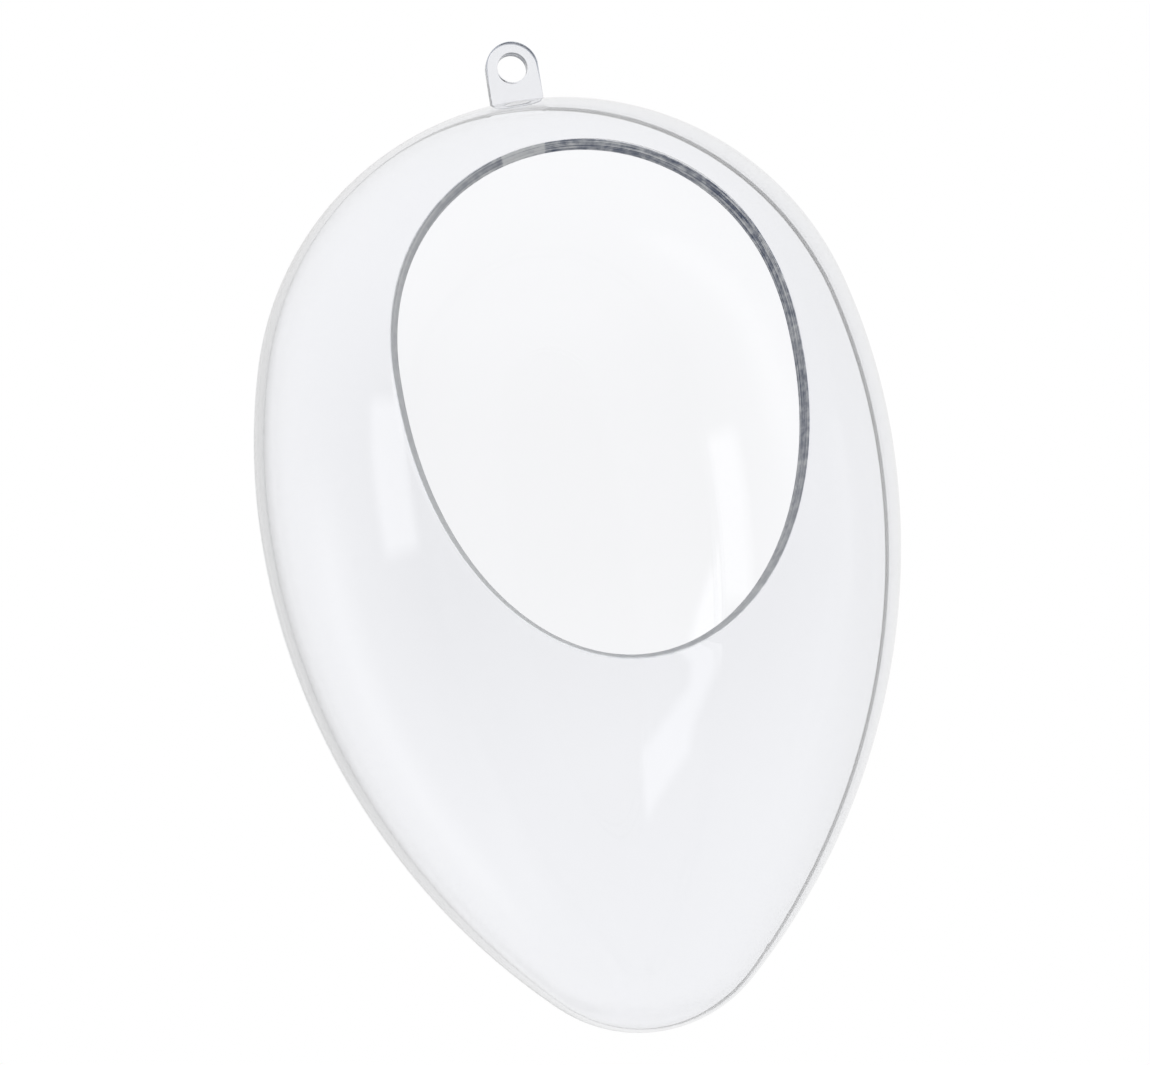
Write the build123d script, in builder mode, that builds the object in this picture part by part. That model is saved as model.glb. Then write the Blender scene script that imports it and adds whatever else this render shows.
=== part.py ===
"""Clear two-part hanging egg with an oval window in its front half.

The egg hangs tip down along the Z axis. Its halves meet on the plane y = 0, and the
front half, with the window, faces -Y. A flat ear at the blunt end is split between
the halves, and the origin is the centre of its hanging hole.
"""
import os
from math import atan2, cos, degrees, radians, sin, sqrt

from build123d import *

# outside of the egg
egg_length = 160.0
egg_width = 109.0
blunt_height = 66.7  # from the widest level up to the blunt end
blunt_fullness = 1.58  # radius of the side arc over that of a plain pointed arch, above 1
tip_fullness = 1.11  # the same below the widest level
wall = 1.5  # at the seam
wall_swell = 1.0  # how much thicker it grows towards the middle of each half
swell_delay = 0.5  # growth left out beside the seam, so that the wall is even there

# stepped rim: a lip on the back half sits in a rebate of the front half
lip_height = 1.7
lip_thickness = 0.9
lip_clearance = 0.06  # outside the lip
lip_end_gap = 0.2  # in front of the lip

# window, measured on the outside of the front half
window_level = 16.9  # its widest level above the egg's widest level
window_width = 62.5
window_rise = 34.5  # from its widest level up to its top
window_drop = 46.3  # and down to its bottom
window_power = 2.16  # 2 makes each half of it an ellipse, and more makes it fuller
window_lean = 0.17  # of its cut: 0 is square to the shell and 1 is straight along Y
window_edge_round = 0.25
window_points = 32  # on the curve of its outline

# hanging ear
ear_width = 9.2
ear_leaf = 1.2  # thickness of each half of the ear
ear_reach = 7.5  # from the blunt end up to the hole's centre
ear_hole_width = 5.2
ear_root_round = 0.6

# round moulding stub at the front of the ear's foot
stub_width = 4.2
stub_height = 0.3  # over the blunt end

# the outline's arcs, from the sizes above
half_width = egg_width / 2
tip_height = egg_length - blunt_height
widest_z = -ear_reach - blunt_height


def side_and_cap(height, fullness):
    """Radius of a side arc, radius of the cap arc tangent to it, and height of its centre."""
    side = fullness * (half_width**2 + height**2) / (2 * half_width)
    cap = (2 * half_width * side - half_width**2 - height**2) / (2 * (side - height))
    return side, cap, height - cap


blunt_side, blunt_cap, blunt_centre = side_and_cap(blunt_height, blunt_fullness)
tip_side, tip_cap, tip_centre = side_and_cap(tip_height, tip_fullness)


def right_outline(inset):
    """Four tangent arcs from the blunt end down the right side to the tip, moved in."""
    blunt_turn = degrees(atan2(blunt_centre, blunt_side - half_width))
    tip_turn = degrees(atan2(tip_centre, tip_side - half_width))
    CenterArc((0, widest_z + blunt_centre), blunt_cap - inset, 90, blunt_turn - 90)
    CenterArc((half_width - blunt_side, widest_z), blunt_side - inset, blunt_turn, -blunt_turn)
    CenterArc((half_width - tip_side, widest_z), tip_side - inset, 0, -tip_turn)
    CenterArc((0, widest_z - tip_centre), tip_cap - inset, -tip_turn, tip_turn - 90)


def egg_section(depth, inset):
    """The right half of the egg's section, moved in, on the plane y = depth."""
    with BuildSketch(Plane.XZ.offset(-depth)) as section:
        with BuildLine():
            right_outline(inset)
            Line((0, -ear_reach - inset), (0, -ear_reach - egg_length + inset))
        make_face()
    return section.sketch


def half_egg(turn):
    """Half of the solid egg: a turn of 180 sweeps the back, and -180 the front."""
    revolve(egg_section(0, 0), axis=Axis.Z, revolution_arc=turn)


def cavity(side):
    """What lies in both an egg a wall smaller and a larger one moved past the seam: side is 1 at the back."""
    middle = -side * (wall_swell + swell_delay)
    upright = Axis((0, middle, 0), (0, 0, 1))
    with BuildPart(mode=Mode.PRIVATE) as space:
        revolve(egg_section(0, wall), axis=Axis.Z)
        revolve(egg_section(middle, wall - swell_delay), axis=upright, mode=Mode.INTERSECT)
    add(space.part, mode=Mode.SUBTRACT)


def seam_outline(inset):
    """The egg's whole outline on the seam plane, moved in."""
    with BuildSketch(Plane.XZ) as outline:
        with BuildLine():
            right_outline(inset)
            mirror(about=Plane.YZ)
        make_face()
    return outline.sketch


def ear_leaf_with_root(half, thickness):
    """Round-headed tab from the hole's level down into the egg, rounded at its foot."""
    run_in = ear_width / 2
    with BuildSketch(Plane.XZ) as tab:
        Circle(ear_width / 2)
        with Locations((0, -(ear_reach + run_in) / 2)):
            Rectangle(ear_width, ear_reach + run_in)
    extrude(tab.sketch, amount=thickness)
    foot = half.edges().filter_by_position(Axis.Z, -ear_reach - run_in, -ear_reach)
    fillet(foot.filter_by_position(Axis.Y, -ear_leaf, ear_leaf), radius=ear_root_round)


def moulding_stub():
    """Low round boss on the blunt end, against the front of the ear's foot."""
    with BuildSketch(Plane.XY.offset(-ear_reach + stub_height)) as disc:
        with Locations((0, -ear_leaf - stub_width / 2)):
            Circle(stub_width / 2)
    extrude(disc.sketch, amount=-stub_height - wall / 2)


def ear_hole(thickness):
    """This half's share of the hanging hole."""
    with BuildSketch(Plane.XZ) as hole:
        Circle(ear_hole_width / 2)
    extrude(hole.sketch, amount=thickness, mode=Mode.SUBTRACT)


def outline_arc(level):
    """Distance from the axis, height and radius of the arc that a level crosses."""
    if level > blunt_centre * (1 + blunt_cap / (blunt_side - blunt_cap)):
        return 0, blunt_centre, blunt_cap
    if level >= 0:
        return half_width - blunt_side, 0, blunt_side
    if level > -tip_centre * (1 + tip_cap / (tip_side - tip_cap)):
        return half_width - tip_side, 0, tip_side
    return 0, -tip_centre, tip_cap


def window_rim(turn):
    """Across, level and depth of the window's outline on the outside, and its slopes."""
    reach = window_rise if sin(turn) > 0 else window_drop
    level = window_level + reach * sin(turn)
    across = sqrt(1 - min(1, abs(sin(turn)) ** window_power)) * window_width / 2
    across = across if cos(turn) > 0 else -across
    out, up, radius = outline_arc(level)
    girth = out + sqrt(radius**2 - (level - up) ** 2)
    return across, level, sqrt(girth**2 - across**2), (girth - out) / radius / girth, (level - up) / radius


def window_section(depth):
    """The window's oval carried through the shell onto the plane y = -depth."""
    points = []
    for number in range(window_points):
        across, level, front, flat_slope, up_slope = window_rim(radians(360 * number / window_points))
        square = 1 - window_lean
        travel = (depth - front) / (square * flat_slope * front + window_lean)
        along = across * (1 + travel * square * flat_slope)
        points.append((along, widest_z + level + travel * square * up_slope))
    with BuildSketch(Plane.XZ.offset(depth)) as oval:
        with BuildLine():
            Spline(*points, periodic=True)
        make_face()
    return oval.sketch


os.makedirs("parts", exist_ok=True)

# back half: whole shell, lip round its rim, one leaf of the ear
with BuildPart() as back_half:
    half_egg(180)
    ear_leaf_with_root(back_half, -ear_leaf)
    extrude(seam_outline(wall - lip_thickness), amount=lip_height)
    cavity(1)
    ear_hole(-ear_leaf)
back_half.part.label = "back_half"
export_step(back_half.part, "parts/back_half.step")

# front half: shell with the window, rebate for the lip, the other leaf of the ear
with BuildPart() as front_half:
    half_egg(-180)
    ear_leaf_with_root(front_half, ear_leaf)
    moulding_stub()
    cavity(-1)
    rebate = seam_outline(wall - lip_thickness - lip_clearance)
    extrude(rebate, amount=lip_height + lip_end_gap, mode=Mode.SUBTRACT)
    ear_hole(ear_leaf)
    inside = window_rim(radians(90))[2] - 4 * (wall + wall_swell)
    sections = [window_section(inside), window_section(half_width + wall)]
    loft(sections, ruled=True, mode=Mode.SUBTRACT)
    cut = front_half.faces().filter_by(GeomType.BSPLINE).sort_by(SortBy.AREA)[-1]
    rims = cut.edges().filter_by(lambda edge: edge.length > 4 * wall)
    fillet(rims, radius=window_edge_round)
front_half.part.label = "front_half"
export_step(front_half.part, "parts/front_half.step")

for half in (back_half.part, front_half.part):
    print(half.label, len(half.solids()), half.volume, half.bounding_box())
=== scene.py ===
# Clear two-part hanging egg with an oval window, in metres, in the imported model's frame.
import math

import bmesh
import bpy
import numpy as np
from mathutils import Matrix, Vector


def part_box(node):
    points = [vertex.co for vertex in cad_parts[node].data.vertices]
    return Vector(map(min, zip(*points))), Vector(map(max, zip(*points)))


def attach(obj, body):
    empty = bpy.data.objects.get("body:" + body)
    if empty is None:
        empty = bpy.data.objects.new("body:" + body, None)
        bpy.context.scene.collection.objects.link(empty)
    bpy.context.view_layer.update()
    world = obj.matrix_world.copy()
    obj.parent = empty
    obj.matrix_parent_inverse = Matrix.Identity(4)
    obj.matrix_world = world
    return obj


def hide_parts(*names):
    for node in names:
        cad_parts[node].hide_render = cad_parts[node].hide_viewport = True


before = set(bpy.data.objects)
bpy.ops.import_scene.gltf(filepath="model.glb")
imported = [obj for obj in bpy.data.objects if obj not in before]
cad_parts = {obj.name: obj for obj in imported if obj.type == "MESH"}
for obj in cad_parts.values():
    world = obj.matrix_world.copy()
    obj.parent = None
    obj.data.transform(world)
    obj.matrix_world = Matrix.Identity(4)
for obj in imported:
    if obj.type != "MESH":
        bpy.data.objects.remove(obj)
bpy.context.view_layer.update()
print("frame loaded:", sorted(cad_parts))

halvings = 40  # of every search for a point
toDegrees = 180 / math.pi

egg = {
    "length": 0.160,
    "bluntHeight": 0.0667,  # from the widest level up to the blunt end
    "bluntFullness": 1.58,
    "tipFullness": 1.11,
    "wall": 0.0015,  # at the seam
    "swell": 0.001,  # how much thicker it is at the middle of each half
    "delay": 0.0005,  # growth left out beside the seam, so that the wall is even there
    "blend": 0.0002,  # depth over which the even wall runs into the growing one
    "columns": 360,
    "air": 0.000012,  # from the seam plane to each half's rim
    "sharpFrom": 32,  # degrees between two faces that meet at a hard edge
}
backLow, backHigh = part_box("back_half")
halfWidth = backHigh.x
wall = egg["wall"]
widestZ = backLow.z + egg["length"] - egg["bluntHeight"]
bluntZ = backLow.z + egg["length"]
earRadius = backHigh.z  # the origin is the centre of the ear's hole and of its head


def sideAndCap(height, fullness):
    # Radius of the side arc, radius of the cap arc tangent to it, and how far its centre is from the
    # widest level.
    side = fullness * (halfWidth**2 + height**2) / (2 * halfWidth)
    cap = (2 * halfWidth * side - halfWidth**2 - height**2) / (2 * (side - height))
    return side, cap, height - cap


bluntSide, bluntCap, bluntCentre = sideAndCap(egg["bluntHeight"], egg["bluntFullness"])
tipSide, tipCap, tipCentre = sideAndCap(egg["length"] - egg["bluntHeight"], egg["tipFullness"])
bluntTurn = math.atan2(bluntCentre, bluntSide - halfWidth)
tipTurn = math.atan2(tipCentre, tipSide - halfWidth)


def arcAt(cases, inset):
    # Distance from the axis, height and radius of the outline's arc that holds: blunt cap, blunt side, tip
    # side, or else the tip's cap, each with its radius less the inset.
    out = np.select(cases, [0.0, halfWidth - bluntSide, halfWidth - tipSide], 0.0)
    up = np.select(cases, [bluntCentre, 0.0, 0.0], -tipCentre)
    radius = np.select(cases, [bluntCap, bluntSide, tipSide], tipCap) - inset
    return out, up, radius


def girth(level, inset):
    # Radius of the egg at a level above its widest one, with the outline's arcs moved in by inset: the
    # arc's centre distance plus the root of its radius squared less its height squared. Then the arc.
    bluntJoin = bluntCentre + (bluntCap - inset) * math.sin(bluntTurn)
    tipJoin = -tipCentre - (tipCap - inset) * math.sin(tipTurn)
    out, up, radius = arcAt([level > bluntJoin, level >= 0, level > tipJoin], inset)
    return out + np.sqrt(np.maximum(radius**2 - (level - up) ** 2, 0)), out, up, radius


def outline(turn, inset):
    # Across and level of the seam outline where its normal has that turn from +X: arc centre plus radius
    # times the turn's cosine and sine, mirrored on the left.
    lift = np.arctan2(np.sin(turn), np.abs(np.cos(turn)))
    out, up, radius = arcAt([lift > bluntTurn, lift >= 0, lift > -tipTurn], inset)
    across = np.where(np.cos(turn) >= 0, 1, -1) * (out + radius * np.cos(lift))
    return np.stack([across, up + radius * np.sin(lift)], -1)


def onSkin(place, inset, side):
    # Points of the skin moved in by inset above places on the seam plane, side -1 in front and 1 behind:
    # the depth is the root of the girth squared less across squared. The inner skin is the shallower of
    # that and of a larger egg's, moved past the seam, so the wall thickens towards each half's middle.
    across, level = place[..., 0], place[..., 1]
    depth = np.sqrt(np.maximum(girth(level, inset)[0] ** 2 - across**2, 0))
    if inset == wall:
        larger = np.sqrt(np.maximum(girth(level, wall - egg["delay"])[0] ** 2 - across**2, 0))
        grown = larger - egg["swell"] - egg["delay"]
        apart = depth - grown
        depth = (depth + grown - np.sqrt(apart**2 + egg["blend"] ** 2)) / 2
    return np.stack([across, side * depth, widestZ + level], -1)


def outward(point):
    # Unit normal of the outside at its own points: the flat part shared as across to depth, and the arc's
    # rise over its radius.
    level = point[..., 2] - widestZ
    around, out, up, radius = girth(level, 0)
    flat = np.where(out == 0, 1 / radius, (around - out) / (radius * np.maximum(around, 1e-9)))
    return np.stack([flat * point[..., 0], flat * point[..., 1], (level - up) / radius], -1)


def shareAtDepth(start, end, inset, depth):
    # Share of the way from start to end at which the skin moved in by inset is that deep, by halving.
    low, high = np.zeros(len(start)), np.ones(len(start))
    for _ in range(halvings):
        middle = (low + high) / 2
        place = start + (end - start) * middle[:, None]
        deep = onSkin(place, inset, 1)[:, 1] < depth
        low, high = np.where(deep, middle, low), np.where(deep, high, middle)
    return (low + high) / 2


def onSeam(turn, inset, y):
    # The seam outline moved in by inset, at a distance y from the seam plane.
    place = outline(turn, inset)
    return np.stack([place[:, 0], np.full(len(place), y), widestZ + place[:, 1]], -1)


def unit(vectors):
    # Each vector over its own length.
    return vectors / np.maximum(np.linalg.norm(vectors, axis=-1, keepdims=True), 1e-12)


def rounded(before, corner, after, radius, steps=5):
    # Rows round a corner: a quadratic curve from radius before it to radius after it, pulled towards it.
    start = corner + radius * unit(before - corner)
    end = corner + radius * unit(after - corner)
    shares = np.linspace(0, 1, steps)
    return [start * (1 - t) ** 2 + corner * 2 * t * (1 - t) + end * t**2 for t in shares]


class Wire:
    # A socket, or at first only the tree it will be in, that takes part in sums.
    def __init__(self, tree, socket=None):
        self.tree, self.socket = tree, socket

    def node(self, kind, settings=None, sockets=None, out=0):
        # Any node: its settings first, then the values or links of its sockets. Gives one output's wire.
        made = self.tree.nodes.new(kind)
        for name, value in (settings or {}).items():
            setattr(made, name, value)
        for name, value in (sockets or {}).items():
            if isinstance(value, Wire):
                self.tree.links.new(value.socket, made.inputs[name])
            else:
                made.inputs[name].default_value = value
        return Wire(self.tree, made.outputs[out] if made.outputs else None)

    def maths(self, operation, *terms):
        return self.node("ShaderNodeMath", {"operation": operation}, dict(enumerate(terms)))

    def __add__(self, other):
        return self.maths("ADD", self, other)

    def __sub__(self, other):
        return self.maths("SUBTRACT", self, other)

    def __rsub__(self, other):
        return self.maths("SUBTRACT", other, self)

    def __mul__(self, other):
        return self.maths("MULTIPLY", self, other)

    def __truediv__(self, other):
        return self.maths("DIVIDE", self, other)

    def __rtruediv__(self, other):
        return self.maths("DIVIDE", other, self)

    __radd__, __rmul__ = __add__, __mul__


def clamped(wire):
    # Kept between 0 and 1.
    return wire.node("ShaderNodeClamp", None, {0: wire})


def within(angle, middle, half, soft):
    # 1 inside a band of angles and 0 outside it, with an even slope of that width between.
    away = angle.maths("ABSOLUTE", angle - middle)
    return clamped((half + soft / 2 - away) / soft)


def emptyTree(owner):
    # The cleared node tree of a material or world, as a wire to start from.
    owner.use_nodes = True
    owner.node_tree.nodes.clear()
    return Wire(owner.node_tree)


# Clear moulded plastic, a little uneven from its mould.
plastic = {
    "tint": (0.980, 0.984, 0.999, 1.0),
    "bend": 1.59,  # index of refraction
    "roughness": 0.004,
    "haze": 0.01,  # how much rougher its dull spots are
    "hazeScale": 60.0,
    "waves": 0.00002,  # height of the faint mould waviness
    "waveScale": 9.0,
    "waveStrength": 0.12,
}


def clearPlastic(name):
    # Plastic that light goes through: roughness plus haze where a noise is over a half, and bump from a
    # slow noise.
    material = bpy.data.materials.new(name)
    start = emptyTree(material)
    place = start.node("ShaderNodeTexCoord", out=3)
    wave, haze = (
        start.node("ShaderNodeTexNoise", None, {"Vector": place, "Scale": scale, "Detail": detail})
        for scale, detail in ((plastic["waveScale"], 0.0), (plastic["hazeScale"], 3.0))
    )
    rough = plastic["roughness"] + plastic["haze"] * clamped(haze - 0.5)
    bump = start.node("ShaderNodeBump", None, {
        "Strength": plastic["waveStrength"],
        "Distance": plastic["waves"],
        "Height": wave,
    })
    surface = start.node("ShaderNodeBsdfPrincipled", None, {
        "Base Color": plastic["tint"],
        "IOR": plastic["bend"],
        "Transmission Weight": 1.0,
        "Roughness": rough,
        "Normal": bump,
    })
    start.node("ShaderNodeOutputMaterial", None, {"Surface": surface})
    return material


window = {
    "level": 0.0169,  # its widest level above the egg's widest level
    "width": 0.0625,
    "rise": 0.0345,
    "drop": 0.0463,
    "power": 2.16,
    "lean": 0.17,  # of its cut: 0 is square to the shell and 1 is straight along Y
    "edgeRound": 0.00025,
    "rows": 56,
    "cutRows": 9,
    "deepest": 0.006,  # the cut through the wall is shorter than this
    "nudge": 0.001,  # share of the way back from its edge, to find how fast the skin goes by
}

# Edges of the same plastic, whose tool marks scatter some of the light, with painted shade and painted light
# in streaks along them.
toolMarksAndShade = {
    "shift": (9, 7, 8),  # how far the streaks move on from one side of an edge to the other
    "stretch": 70,
    "detail": 4.0,
    "streakRoughness": 0.7,
    "middle": 0.4,  # of the streaks, where they are neither dark nor light
    "contrast": 4,
    "fleckScale": 900.0,
    "fleckDetail": 2.0,
    "roughness": 0.15,  # how much rougher the light marks are
    "depth": 0.00006,
    "strength": 0.35,
}

# Each edge's dark colour of painted shade and light colour of painted light, how rough it is, how much light
# goes through, and its flecks.
stepFinishAndShade = {
    "dark": (0.80, 0.82, 0.86, 1),
    "light": (0.94, 0.95, 0.98, 1),
    "roughness": 0.15,
    "through": 0.97,
    "flecks": 0.4,
}
earFinishAndShade = {
    "dark": (0.30, 0.33, 0.40, 1),
    "light": (0.93, 0.95, 0.99, 1),
    "roughness": 0.10,
    "through": 0.85,
    "flecks": 0.4,
}
lineFinishAndShade = {
    "dark": (0.42, 0.45, 0.51, 1),
    "light": (0.66, 0.69, 0.75, 1),
    "roughness": 0.15,
    "through": 0.75,
    "flecks": 0.4,
}
cutFinishAndShading = {
    "dark": (0.12, 0.15, 0.24, 1),
    "light": (0.96, 0.98, 1.0, 1),
    "roughness": 0.28,
    "through": 0.5,
    "flecks": 1.6,
    "pale": {"from": 100.0, "half": 6.0, "soft": 0.6, "more": 0.55},  # degrees round the window, where painted light makes the edge paler
    "left": {"from": 0.004, "over": 0.022, "more": 0.75},  # painted light: paler to the left of the middle
    "low": {"from": 0.012, "over": 0.03, "more": 0.6},  # and painted light below the widest level
}


def edgePlastic(name, finishAndShade):
    # Streaks along the edge and flecks, less their middle and times their contrast, go from the dark to
    # the light colour: painted shade and painted light on the clear edge. The window's edge has more painted
    # light: it is paler at one turn, at its left and at its bottom.
    material = bpy.data.materials.new(name)
    start = emptyTree(material)
    place = start.node("ShaderNodeTexCoord", out=3)
    across = start.node("ShaderNodeAttribute", {"attribute_name": "acrossEdge"}, out=2)
    shift = {n: across * far for n, far in enumerate(toolMarksAndShade["shift"])}
    offset = start.node("ShaderNodeCombineXYZ", None, shift)
    stretch = (toolMarksAndShade["stretch"],) * 3
    slow = start.node("ShaderNodeVectorMath", {"operation": "MULTIPLY"}, {0: place, 1: stretch})
    along = start.node("ShaderNodeVectorMath", {"operation": "ADD"}, {0: slow, 1: offset})
    streak = start.node("ShaderNodeTexNoise", None, {
        "Vector": along,
        "Scale": 1.0,
        "Detail": toolMarksAndShade["detail"],
        "Roughness": toolMarksAndShade["streakRoughness"],
    })
    fleck = start.node("ShaderNodeTexNoise", None, {
        "Vector": place,
        "Scale": toolMarksAndShade["fleckScale"],
        "Detail": toolMarksAndShade["fleckDetail"],
    })
    shade = clamped((streak - toolMarksAndShade["middle"]) * toolMarksAndShade["contrast"] + (fleck - 0.5) * finishAndShade["flecks"])
    # painted light on the window's edge: a paler band at one turn, and paler to the left and below
    if "pale" in finishAndShade:
        pale, left, low = finishAndShade["pale"], finishAndShade["left"], finishAndShade["low"]
        middle = widestZ + window["level"]
        aside, upward = (start.node("ShaderNodeSeparateXYZ", None, {0: place}, out=n) for n in (0, 2))
        turn = start.maths("ARCTAN2", upward - middle, aside) * toDegrees
        paintedLightBand = pale["more"] * within(turn, pale["from"], pale["half"], pale["soft"])
        paintedLightLeft = clamped((-left["from"] - aside) / left["over"]) * left["more"]
        paintedLightLow = clamped((middle - low["from"] - upward) / low["over"]) * low["more"]
        shade = clamped(shade + paintedLightBand + paintedLightLeft * (1 - shade) + paintedLightLow * (1 - shade))
    # the edge's colour: painted shade at the dark end, painted light at the light end
    mixed = {0: shade, 6: finishAndShade["dark"], 7: finishAndShade["light"]}
    colour = start.node("ShaderNodeMix", {"data_type": "RGBA"}, mixed, out=2)
    bump = start.node("ShaderNodeBump", None, {
        "Strength": toolMarksAndShade["strength"],
        "Distance": toolMarksAndShade["depth"],
        "Height": streak,
    })
    surface = start.node("ShaderNodeBsdfPrincipled", None, {
        "Base Color": colour,
        "IOR": plastic["bend"],
        "Transmission Weight": finishAndShade["through"],
        "Roughness": finishAndShade["roughness"] + toolMarksAndShade["roughness"] * shade,
        "Normal": bump,
    })
    start.node("ShaderNodeOutputMaterial", None, {"Surface": surface})
    return material


finishesAndShading = {
    "clear plastic": clearPlastic("clear plastic"),
    "stepped edge": edgePlastic("stepped edge", stepFinishAndShade),
    "window edge": edgePlastic("window edge", cutFinishAndShading),
    "ear edge": edgePlastic("ear edge", earFinishAndShade),
    "joint line": edgePlastic("joint line", lineFinishAndShade),
}
print("finishes made:", list(finishesAndShading))


def gridMesh(name, rows, closedRows=False, poles=(), edges=()):
    # Mesh of rows that are closed along their columns. Rows join end to end if closedRows, or else a pole's
    # single point closes the first and the last row. An edge is a first row, a last row and its finish with
    # painted shade, all else is clear, and the attribute acrossEdge goes from 0 to 1 over its rows.
    grid = np.stack(rows)
    count, columns = grid.shape[:2]
    number = np.arange(count * columns).reshape(count, columns)
    beside = np.roll(number, -1, 1)
    last = count if closedRows else count - 1
    below = np.roll(number, -1, 0)
    besideBelow = np.roll(beside, -1, 0)
    quads = np.stack([number[:last], beside[:last], besideBelow[:last], below[:last]], -1).reshape(-1, 4)
    points = grid.reshape(-1, 3)
    faces = quads.tolist()
    if len(poles):
        points = np.concatenate([points, np.array(poles)])
        first, end = count * columns, count * columns + 1
        faces += np.stack([np.full(columns, first), beside[0], number[0]], -1).tolist()
        faces += np.stack([np.full(columns, end), number[-1], beside[-1]], -1).tolist()
    mesh = bpy.data.meshes.new(name)
    mesh.from_pydata(points.tolist(), [], faces)
    for material in finishesAndShading.values():
        mesh.materials.append(material)
    slots, share = np.zeros(len(faces), int), np.zeros(len(points))
    for first, end, finishAndShade in edges:
        slots[first * columns:end * columns] = list(finishesAndShading).index(finishAndShade)
        last = min(end + 1, count)
        share[first * columns:last * columns] = np.repeat(np.linspace(0, 1, last - first), columns)
    mesh.polygons.foreach_set("material_index", slots)
    mesh.attributes.new("acrossEdge", "FLOAT", "POINT").data.foreach_set("value", share.astype(np.float32))
    mesh.update()
    work = bmesh.new()
    work.from_mesh(mesh)
    bmesh.ops.recalc_face_normals(work, faces=work.faces)
    work.to_mesh(mesh)
    work.free()
    thing = bpy.data.objects.new(name, mesh)
    bpy.context.scene.collection.objects.link(thing)
    return thing


turns = np.linspace(0, 2 * math.pi, egg["columns"], endpoint=False)

# Stepped rim: the back half's lip lies in the front half's rebate.
rim = {
    "lip": 0.0009,
    "lipReach": 0.0017,
    "rebateStep": 0.00054,  # from the outside in
    "rebateReach": 0.0019,
    "round": 0.0001,
    "innerRound": 0.00018,
    "footRound": 0.00005,  # in the inner corner of the step
    "footRows": 3,
    "stepShares": (0.3, 0.6),  # of the step's height, where it has a row
}

backShape = {
    "rows": 84,
    "centre": (0.0, -0.006),  # across and level of its poles
    "innerStart": 0.0001,  # depth of the inner skin's first row
}


def backRows():
    # Outer skin from its pole out to the seam, round the rim and the lip, and the inner skin back to its
    # pole. Places run from the centre to the outline by the sine of an even angle.
    centre = np.array(backShape["centre"])
    skins = []
    for inset, deep in ((0.0, egg["air"] + rim["round"]), (wall, backShape["innerStart"])):
        edge = outline(turns, inset)
        start = 1 - shareAtDepth(edge, np.broadcast_to(centre, edge.shape), inset, deep)
        angles = np.linspace(0, 1, backShape["rows"])[1:, None] * np.arcsin(start)
        shares = np.sin(angles)[:, :, None]
        skins.append(onSkin(centre + (edge - centre) * shares, inset, 1))
    outer, inner = skins
    step = wall - rim["lip"]
    corner = onSeam(turns, 0, egg["air"])
    foot = onSeam(turns, step, egg["air"])
    tipOut = onSeam(turns, step, -rim["lipReach"])
    tipIn = onSeam(turns, wall, -rim["lipReach"])
    rows = list(outer[:-1])
    stepStart = len(rows)
    rows += rounded(outer[-1], corner, foot, rim["round"])
    rows += rounded(corner, foot, tipOut, rim["footRound"], rim["footRows"])
    rows += [tipOut * (1 - t) + foot * t for t in reversed(rim["stepShares"])]
    rows += rounded(foot, tipOut, tipIn, rim["round"])
    lineStart = len(rows) - 1
    rows += rounded(tipOut, tipIn, inner[-1], rim["innerRound"])
    last = len(rows) - 1
    rows += list(inner[::-1])
    return {
        "rows": rows,
        "poles": [onSkin(centre, inset, 1) for inset in (0.0, wall)],
        # the step and the joint faces take painted shade
        "edges": [(stepStart, last, "stepped edge"), (lineStart, last, "joint line")],
    }


def windowPlace(turn):
    # Across and level of the window's outline: the level follows the sine, and across is the half width
    # times the root of one less the sine raised to the power.
    sine = np.sin(turn)
    level = window["level"] + np.where(sine > 0, window["rise"], window["drop"]) * sine
    across = window["width"] / 2 * np.sqrt(1 - np.minimum(1, np.abs(sine) ** window["power"]))
    return np.stack([np.where(np.cos(turn) >= 0, 1, -1) * across, level], -1)


def cutThrough(corner):
    # Where the window's cut, leaning from the skin's normal towards -Y, comes out inside, by halving.
    lean = (1 - window["lean"]) * outward(corner) + window["lean"] * np.array([0, -1, 0])
    near, far = np.zeros((len(corner), 1)), np.full((len(corner), 1), window["deepest"])
    for _ in range(halvings):
        through = (near + far) / 2
        point = corner - through * lean
        solid = (point[:, 1] < onSkin(point[:, [0, 2]] - [0, widestZ], wall, -1)[:, 1])[:, None]
        near, far = np.where(solid, through, near), np.where(solid, far, through)
    print("wall at the window mm", (through.min() * 1e3).round(2), (through.max() * 1e3).round(2))
    return corner - through * lean


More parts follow.
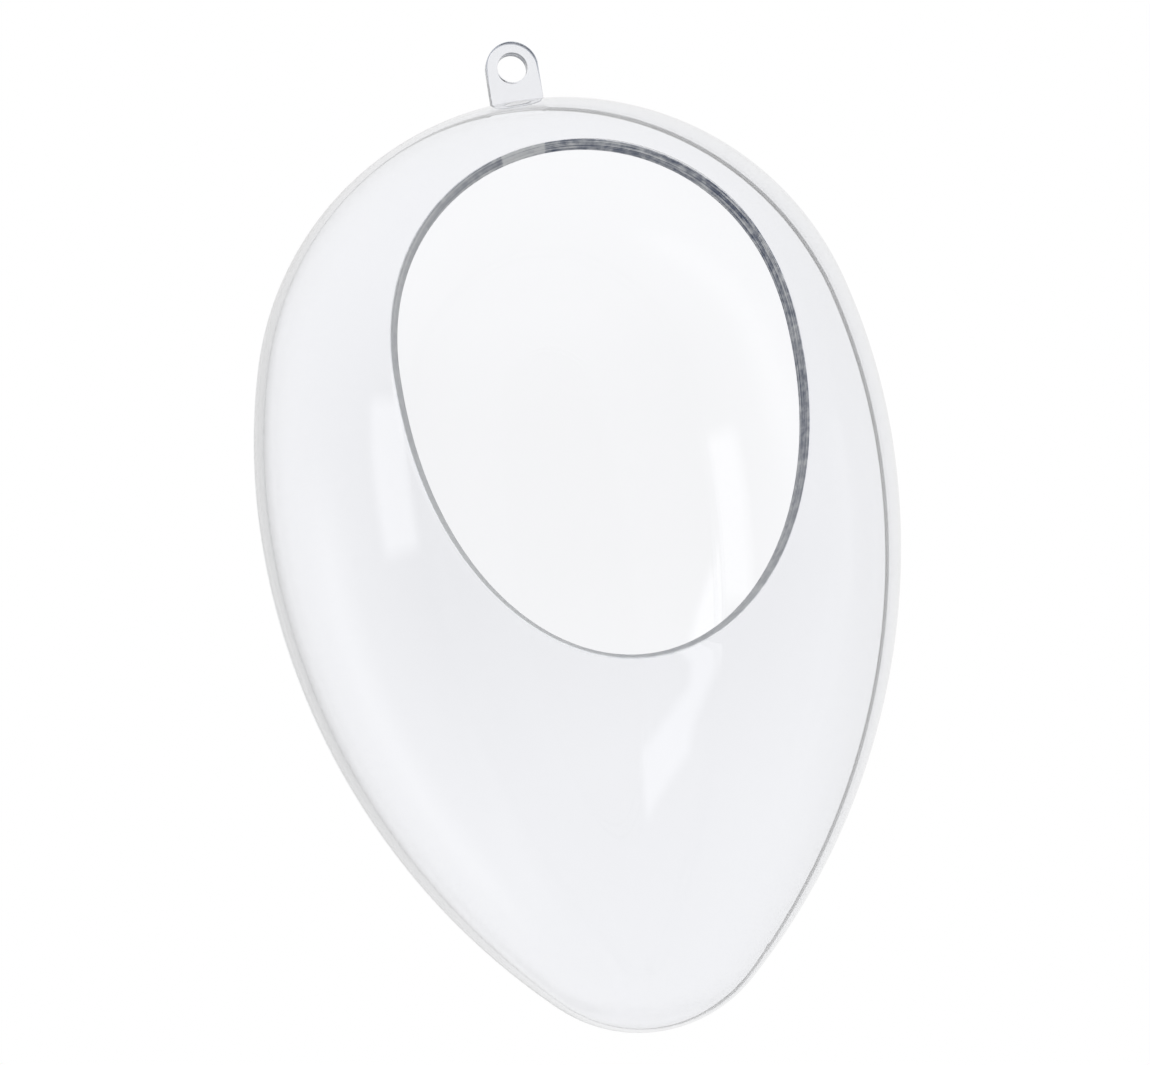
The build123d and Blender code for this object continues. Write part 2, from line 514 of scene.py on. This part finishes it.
def frontRows():
    # Outer skin from the seam to the window, its leaning cut, the inner skin back, the rebate and the rim.
    # Places run from the outline to the window by the square of an even share, even along the skin.
    edge, opening = outline(turns, 0), windowPlace(turns)
    corner = onSkin(opening, 0, -1)
    inCorner = cutThrough(corner)
    inOpening = inCorner[:, [0, 2]] - [0, widestZ]
    inEdge = outline(turns, wall)
    skins = []
    for start, end, inset, deep in (
        (edge, opening, 0, egg["air"] + rim["round"]),
        (inEdge, inOpening, wall, rim["rebateReach"] + rim["innerRound"]),
    ):
        first = shareAtDepth(start, end, inset, deep)
        beforeEnd = onSkin(end + (start - end) * window["nudge"], inset, -1)
        pace = np.linalg.norm(onSkin(end, inset, -1) - beforeEnd, axis=-1) / window["nudge"]
        last = 1 - window["edgeRound"] / pace
        even = np.sqrt(first) + (np.sqrt(last) - np.sqrt(first)) * np.linspace(0, 1, window["rows"])[:, None]
        skins.append(onSkin(start + (end - start) * (even**2)[:, :, None], inset, -1))
    outer, inner = skins
    shoulder = onSeam(turns, 0, -egg["air"])
    lipSide = onSeam(turns, rim["rebateStep"], -egg["air"])
    lipEnd = onSeam(turns, rim["rebateStep"], -rim["rebateReach"])
    stepShare = shareAtDepth(inEdge, inOpening, wall, rim["rebateReach"])
    step = onSkin(inEdge + (inOpening - inEdge) * stepShare[:, None], wall, -1)
    rows = rounded(lipSide, shoulder, outer[0], rim["round"])
    rows += list(outer[1:-1])
    cutFirst = len(rows)
    rows += rounded(outer[-2], corner, inCorner, window["edgeRound"])
    cutStart, cutEnd = rows[-1], inCorner + window["edgeRound"] * unit(corner - inCorner)
    rows += [cutStart * (1 - t) + cutEnd * t for t in np.linspace(0, 1, window["cutRows"])[1:-1]]
    rows += rounded(corner, inCorner, inner[-2], window["edgeRound"])
    cutLast = len(rows) - 1
    rows += list(inner[1:-1][::-1])
    lineStart = len(rows)
    rows += rounded(inner[1], step, lipEnd, rim["innerRound"])
    stepStart = len(rows)
    rows += rounded(step, lipEnd, lipSide, rim["footRound"], rim["footRows"])
    rows += [lipEnd * (1 - t) + lipSide * t for t in rim["stepShares"]]
    rows += rounded(lipEnd, lipSide, shoulder, rim["round"] / 2)
    return {
        "rows": rows,
        "closedRows": True,
        # the window's cut, the step and the joint faces take painted shade and painted light
        "edges": [
            (cutFirst, cutLast, "window edge"),
            (stepStart, len(rows) - 1, "stepped edge"),
            (lineStart, stepStart, "joint line"),
        ],
    }


# Hanging ear: half of its thickness belongs to each half of the egg.
ear = {
    "leaf": 0.0012,
    "hole": 0.0026,
    "edgeRound": 0.00022,
    "holeRound": 0.0003,
    "seamRound": 0.00008,
    "cornerRows": 5,
    "foot": -0.0079,  # level of its buried foot
    "air": 0.00002,
    "columns": 144,
    "headPoints": 60,
}


def earOutline(count):
    # Half circle over the hole, then straight down to the foot and across it, spaced evenly along its
    # length.
    arc = np.linspace(math.pi / 2, 0, ear["headPoints"])
    head = np.stack([earRadius * np.cos(arc), earRadius * np.sin(arc)], -1)
    right = np.concatenate([head, [[earRadius, ear["foot"]], [0, ear["foot"]]]])
    path = np.concatenate([right, right[-2::-1] * [-1, 1]])
    along = np.concatenate([[0], np.cumsum(np.linalg.norm(np.diff(path, axis=0), axis=1))])
    even = np.linspace(0, along[-1], count, endpoint=False)
    return np.stack([np.interp(even, along, path[:, 0]), np.interp(even, along, path[:, 1])], -1)


def earPlate(side):
    # Flat leaf between the outline and the hole: four corners in section, each rounded, at the hole and
    # the outline in front, then at the outline and the hole beside the other leaf.
    flat = earOutline(ear["columns"])
    angle = math.pi / 2 - np.linspace(0, 2 * math.pi, ear["columns"], endpoint=False)
    hole = ear["hole"] * np.stack([np.cos(angle), np.sin(angle)], -1)
    section = (
        (hole, ear["leaf"], ear["holeRound"]),
        (flat, ear["leaf"], ear["edgeRound"]),
        (flat, ear["air"], ear["seamRound"]),
        (hole, ear["air"], ear["seamRound"]),
    )
    corners = [np.stack([way[:, 0], np.full(len(way), side * y), way[:, 1]], -1) for way, y, _ in section]
    steps = ear["cornerRows"]
    rows = []
    for number, (_, _, radius) in enumerate(section):
        after = corners[(number + 1) % len(corners)]
        rows += rounded(corners[number - 1], corners[number], after, radius, steps)
    # the leaf's rounded edges and its hole take painted shade
    edges = [(steps, 3 * steps - 1, "ear edge"), (3 * steps, 4 * steps, "ear edge")]
    return gridMesh("ear plate", rows, closedRows=True, edges=edges)


foot = {
    "buried": 0.0003,
    "flare": 0.00075,
    "round": 0.00004,  # of its upright corners where it leaves the leaf
    "rows": 14,
    "cornerPoints": 8,
    "sidePoints": 12,
    "airShare": 1.3,  # of the leaf's air, so that the two don't share a plane
}


def earFoot(side):
    # Flared foot: a rounded box round the leaf whose sides move out by a quarter circle as they near the
    # egg, and which sags with the blunt cap below it.
    rows = []
    for height in np.linspace(-foot["buried"], foot["flare"], foot["rows"]):
        rise = min(max(height, 0) / foot["flare"], 1)
        spread = foot["flare"] * (1 - math.sqrt(1 - (1 - rise) ** 2)) - foot["round"]
        angle = np.linspace(0, math.pi / 2, foot["cornerPoints"])
        swing = foot["round"] + spread
        across = earRadius + spread - swing + swing * np.cos(angle)
        depth = ear["leaf"] + spread - swing + swing * np.sin(angle)
        sides = np.linspace(across[-1], 0, foot["sidePoints"])[1:]
        across = np.concatenate([[earRadius + spread], across, sides])
        depth = np.concatenate([[ear["air"] * foot["airShare"]], depth, np.full(len(sides), depth[-1])])
        across = np.concatenate([across, -across[-2::-1]])
        depth = np.concatenate([depth, depth[-2::-1]])
        sag = bluntCap - np.sqrt(bluntCap**2 - across**2 - depth**2)
        rows.append(np.stack([across, side * depth, bluntZ - sag + height], -1))
    return gridMesh("ear foot", rows, poles=[rows[0].mean(0), rows[-1].mean(0)])


stub = {
    "radius": 0.0021,
    "height": 0.0003,
    "round": 0.00016,
    "roundPoints": 6,
    "buried": 0.0005,
    "columns": 72,
}


def mouldingStub():
    # Low disc on the blunt end in front of the leaf: its profile turned about its own upright axis.
    angle = np.linspace(0, 2 * math.pi, stub["columns"], endpoint=False)
    curve = np.linspace(0, math.pi / 2, stub["roundPoints"])
    lip = stub["radius"] - stub["round"] * (1 - np.cos(curve))
    lift = stub["height"] - stub["round"] * (1 - np.sin(curve))
    out = np.concatenate([[stub["radius"]] * 2, lip, [stub["radius"] / 2]])
    high = np.concatenate([[-stub["buried"], 0], lift, [stub["height"]]])
    middle = -ear["leaf"] - stub["radius"]
    rows = np.stack([
        out[:, None] * np.cos(angle),
        middle + out[:, None] * np.sin(angle),
        bluntZ + high[:, None] + 0 * angle,
    ], -1)
    poles = [[0, middle, bluntZ - stub["buried"]], [0, middle, bluntZ + stub["height"]]]
    # the whole stub takes the ear edge's painted shade
    return gridMesh("moulding stub", rows, poles=poles, edges=[(0, len(rows) - 1, "ear edge")])


def unite(body, parts):
    # One closed skin of the body and its parts, by exact union.
    for part in parts:
        joint = body.modifiers.new(part.name, "BOOLEAN")
        joint.object, joint.operation, joint.solver = part, "UNION", "EXACT"
        bpy.context.view_layer.update()
        graph = bpy.context.evaluated_depsgraph_get()
        mesh = bpy.data.meshes.new_from_object(body.evaluated_get(graph))
        body.modifiers.clear()
        old, body.data = body.data, mesh
        bpy.data.meshes.remove(old)
        tool = part.data
        bpy.data.objects.remove(part)
        bpy.data.meshes.remove(tool)
    work = bmesh.new()
    work.from_mesh(body.data)
    openEdges = sum(1 for edge in work.edges if len(edge.link_faces) != 2)
    volume = round(work.calc_volume() * 1e9)
    print(body.name, "faces", len(work.faces), "open edges", openEdges, "volume mm3", volume)
    work.free()
    return body


backShell = unite(gridMesh("backShell", **backRows()), [earPlate(1), earFoot(1)])
frontShell = unite(gridMesh("frontShell", **frontRows()), [earPlate(-1), earFoot(-1), mouldingStub()])
for shell in (backShell, frontShell):
    shell.data.polygons.foreach_set("use_smooth", np.ones(len(shell.data.polygons), bool))
    shell.data.set_sharp_from_angle(angle=math.radians(egg["sharpFrom"]))
print("halves built")

for shell, body, node in ((backShell, "back", "back_half"), (frontShell, "front", "front_half")):
    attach(shell, body)
    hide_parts(node)
print("halves placed on their bodies")

# Camera, by where it stands round the point it looks at. Angles are in degrees.
view = {
    "azimuth": -8.554,
    "elevation": -2.583,
    "roll": -8.788,
    "distance": 0.338,
    "lens": 61.357,
    "aside": -0.001455,  # of the point it looks at
    "below": 0.007453,  # the widest level
    "nearest": 0.01,
}
aim = Vector((view["aside"], 0, widestZ - view["below"]))
azimuth, elevation, roll = (math.radians(view[key]) for key in ("azimuth", "elevation", "roll"))
flat = math.cos(elevation)
back = Vector((math.sin(azimuth) * flat, -math.cos(azimuth) * flat, math.sin(elevation)))
right = Vector((0, 0, 1)).cross(back).normalized()
up = back.cross(right)
rolledRight = right * math.cos(roll) + up * math.sin(roll)
rolledUp = up * math.cos(roll) - right * math.sin(roll)
camera = bpy.data.objects.new("camera", bpy.data.cameras.new("camera"))
camera.data.lens = view["lens"]
camera.data.clip_start = view["nearest"]
turned = Matrix((rolledRight, rolledUp, back)).transposed().to_4x4()
camera.matrix_world = Matrix.Translation(aim + back * view["distance"]) @ turned
bpy.context.scene.collection.objects.link(camera)
bpy.context.scene.camera = camera

# Floor and light: white all round when looked at or through, and a studio with a dark front and soft
# panels for what the plastic reflects. Angles are degrees from -Y towards +X, and above the horizon.
studio = {
    "floorLevel": -0.45,
    "floorSize": 60.0,
    "front": 0.25,
    "aboveAndBelow": 0.5,
    "tiltFrom": 12,  # degrees above or below the horizon where that light begins
    "tiltOver": 34,
    "behind": 0.9,
    "behindFrom": -0.5,  # how far behind that light begins, from -1 in front to 1 behind
    "behindOver": 1.2,
    "panels": [
        {"turn": -150, "turnHalf": 12, "rise": 0, "riseHalf": 30, "lean": 0, "soft": 36, "light": 0.68},
        {"turn": -108, "turnHalf": 7, "rise": -25, "riseHalf": 30, "lean": 0, "soft": 14, "light": 0.95},
        {"turn": -73, "turnHalf": 7, "rise": 8, "riseHalf": 12, "lean": 0, "soft": 3, "light": 1.1},
        {"turn": -58, "turnHalf": 9, "rise": 26, "riseHalf": 8, "lean": 0.9, "soft": 3, "light": 1.2},
        {"turn": -37, "turnHalf": 14, "rise": 44, "riseHalf": 5.5, "lean": 0.45, "soft": 2.5, "light": 1.2},
    ],
}


def studioLight(direction):
    # Strength of the light from a direction: the front's, mixed with the others' by how far above, below or
    # behind it is, then with each panel's inside it, and 1 for rays that the plastic hasn't reflected.
    parts = (direction.node("ShaderNodeSeparateXYZ", None, {0: direction}, out=n) for n in range(3))
    across, ahead, rise = parts
    turn = direction.maths("ARCTAN2", across, 0 - ahead) * toDegrees
    high = direction.maths("ARCSINE", rise) * toDegrees
    tilt = clamped((direction.maths("ABSOLUTE", high) - studio["tiltFrom"]) / studio["tiltOver"])
    level = studio["front"] + (studio["aboveAndBelow"] - studio["front"]) * tilt
    behind = clamped((ahead - studio["behindFrom"]) / studio["behindOver"])
    level = level + behind * (studio["behind"] - level)
    for panel in studio["panels"]:
        mask = within(turn, panel["turn"], panel["turnHalf"], panel["soft"])
        lifted = high - panel["lean"] * (turn - panel["turn"])
        mask = mask * within(lifted, panel["rise"], panel["riseHalf"], panel["soft"])
        level = level + mask * (panel["light"] - level)
    bounced = clamped(direction.node("ShaderNodeLightPath", out="Glossy Depth"))
    return 1 - bounced * (1 - level)


floorMesh = bpy.data.meshes.new("floor")
half = studio["floorSize"] / 2
square = ((-half, -half), (half, -half), (half, half), (-half, half))
corners = [(x, y, studio["floorLevel"]) for x, y in square]
floorMesh.from_pydata(corners, [], [(0, 1, 2, 3)])
floor = bpy.data.objects.new("floor", floorMesh)
bpy.context.scene.collection.objects.link(floor)
floorPaint = bpy.data.materials.new("pale floor")
floorPaint.cycles.emission_sampling = "NONE"
start = emptyTree(floorPaint)
spot = start.node("ShaderNodeTexCoord", out=3)
toSpot = start.node("ShaderNodeVectorMath", {"operation": "SUBTRACT"}, {0: spot, 1: (0, 0, widestZ)})
toSpot = start.node("ShaderNodeVectorMath", {"operation": "NORMALIZE"}, {0: toSpot})
pale = start.node("ShaderNodeEmission", None, {"Color": studioLight(toSpot), "Strength": 1.0})
start.node("ShaderNodeOutputMaterial", None, {"Surface": pale})
floorMesh.materials.append(floorPaint)

world = bpy.data.worlds.new("studio")
bpy.context.scene.world = world
start = emptyTree(world)
light = studioLight(start.node("ShaderNodeTexCoord"))
sky = start.node("ShaderNodeBackground", None, {"Color": light, "Strength": 1.0})
start.node("ShaderNodeOutputWorld", None, {"Surface": sky})
bpy.context.scene.view_settings.view_transform = "Standard"
print("camera, floor and light set")
